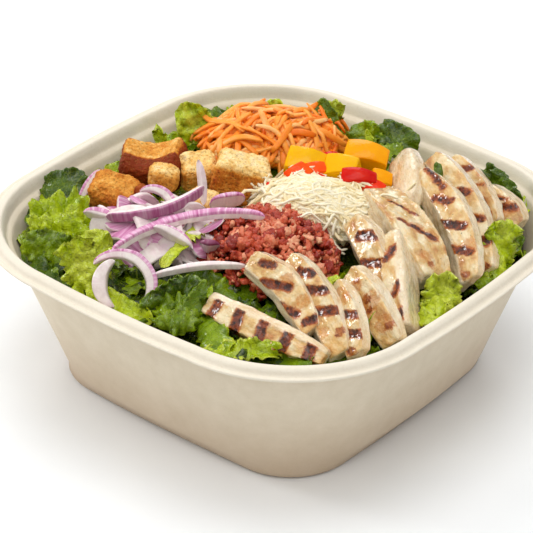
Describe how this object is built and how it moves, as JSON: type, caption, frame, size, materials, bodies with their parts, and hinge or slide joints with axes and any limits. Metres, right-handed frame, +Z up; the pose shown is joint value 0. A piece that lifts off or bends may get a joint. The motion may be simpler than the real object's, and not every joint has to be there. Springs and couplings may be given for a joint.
{
  "type": "grilled chicken salad",
  "caption": "Grilled chicken salad in a square moulded-fibre bowl: romaine topped with seared chicken, bacon, cheese, carrot, bell pepper, red onion and croutons, ready to eat.",
  "frame": {"origin": "centre of the bowl's flat base, on the surface it stands on", "axes": "+Z up, X and Y along the bowl's straight sides; the chicken lies towards +X and the onion towards -Y"},
  "size_m": [0.22, 0.22, 0.1009],
  "materials": {
    "moulded_fibre": "pressed plant fibre, warm beige, matte, faint pulp grain",
    "grilled_chicken": "pale cream roast meat with moist sheen and dark sear bars",
    "red_onion": "white to lilac flesh, magenta outer skin, moist",
    "toasted_bread": "golden to dark brown crust, pale open crumb",
    "yellow_pepper": "waxy yellow skin",
    "orange_pepper": "waxy orange skin",
    "red_pepper": "waxy red skin",
    "bacon": "cooked crumbled bacon, red-brown with pink fat",
    "cheese": "pale cream shreds",
    "carrot": "fresh cut orange root",
    "romaine": "crisp leaf, dark to yellow green with pale ribs"
  },
  "bodies": {
    "root": {"bowl": "moulded_fibre", "chicken_strip_1": "grilled_chicken", "chicken_strip_2": "grilled_chicken", "chicken_strip_3": "grilled_chicken", "chicken_strip_4": "grilled_chicken", "chicken_strip_5": "grilled_chicken", "chicken_strip_6": "grilled_chicken", "chicken_strip_7": "grilled_chicken", "chicken_strip_8": "grilled_chicken", "chicken_strip_9": "grilled_chicken", "chicken_strip_10": "grilled_chicken", "chicken_strip_11": "grilled_chicken", "chicken_strip_12": "grilled_chicken", "chicken_strip_13": "grilled_chicken", "onion_slice_1": "red_onion", "onion_slice_2": "red_onion", "onion_slice_3": "red_onion", "onion_slice_4": "red_onion", "onion_slice_5": "red_onion", "onion_slice_6": "red_onion", "onion_slice_7": "red_onion", "onion_slice_8": "red_onion", "onion_slice_9": "red_onion", "onion_slice_10": "red_onion", "onion_slice_11": "red_onion", "onion_slice_12": "red_onion", "onion_slice_13": "red_onion", "crouton_1": "toasted_bread", "crouton_2": "toasted_bread", "crouton_3": "toasted_bread", "crouton_4": "toasted_bread", "crouton_5": "toasted_bread", "crouton_6": "toasted_bread", "crouton_7": "toasted_bread", "pepper_1": "yellow_pepper", "pepper_2": "yellow_pepper", "pepper_3": "yellow_pepper", "pepper_4": "yellow_pepper", "pepper_5": "orange_pepper", "pepper_6": "red_pepper", "pepper_7": "red_pepper", "pepper_8": "red_pepper", "pepper_9": "red_pepper", "pepper_10": "orange_pepper", "pepper_11": "orange_pepper", "bacon_crumbles": "bacon", "shredded_cheese": "cheese", "carrot_shreds": "carrot", "onion_petals": "red_onion", "romaine_leaf_1": "romaine", "romaine_leaf_2": "romaine", "romaine_leaf_3": "romaine", "romaine_leaf_4": "romaine", "romaine_leaf_5": "romaine", "romaine_leaf_6": "romaine", "romaine_leaf_7": "romaine", "romaine_leaf_8": "romaine", "romaine_leaf_9": "romaine", "romaine_leaf_10": "romaine", "lettuce_bed": "romaine"}
  },
  "joints": []
}
